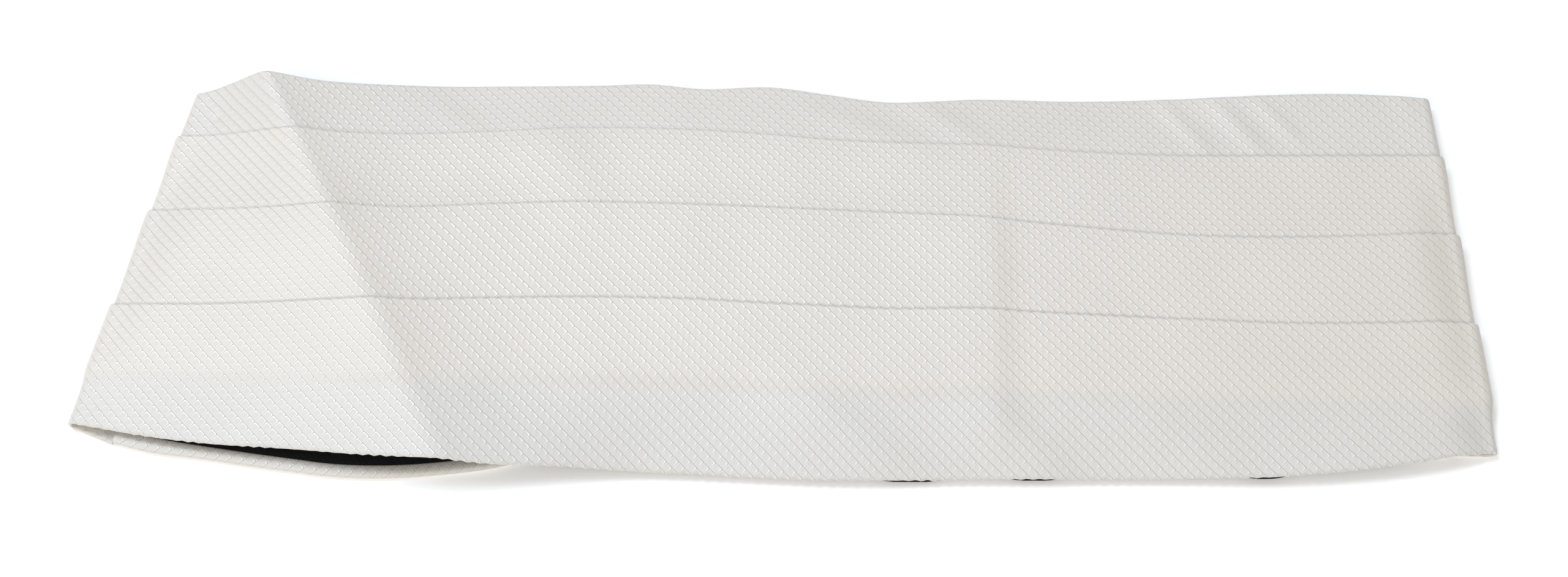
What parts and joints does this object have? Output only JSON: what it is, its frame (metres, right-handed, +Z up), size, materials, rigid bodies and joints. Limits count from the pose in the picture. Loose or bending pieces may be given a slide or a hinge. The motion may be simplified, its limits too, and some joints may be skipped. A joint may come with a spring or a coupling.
{
  "type": "pleated cummerbund",
  "caption": "White pleated waist sash with a black lining, closed at the back by an elastic strap and lying flat as a flattened loop.",
  "frame": {"origin": "middle of the box round the whole part, at the level of the surface it lies on", "axes": "+X along the front from its left fold to its right fold, +Y from its lower edge to its upper edge, +Z up off the surface"},
  "size_m": [0.4233, 0.1422, 0.0155],
  "materials": {
    "white_front": "white silk-like jacquard with a small diamond weave, satin sheen",
    "white_back": "the same white jacquard, unpleated",
    "black_lining": "black plain-woven lining cloth",
    "elastic": "black ribbed elastic webbing",
    "metal": "nickel-plated stamped steel"
  },
  "bodies": {
    "root": {"front_panel": "white_front", "front_lining": "black_lining", "back_wing_left": "white_back", "back_wing_left_lining": "black_lining", "back_wing_right": "white_back", "back_wing_right_lining": "black_lining", "strap_left": "elastic", "strap_right": "elastic", "closure_hook": "metal", "closure_ring": "metal"}
  },
  "joints": []
}
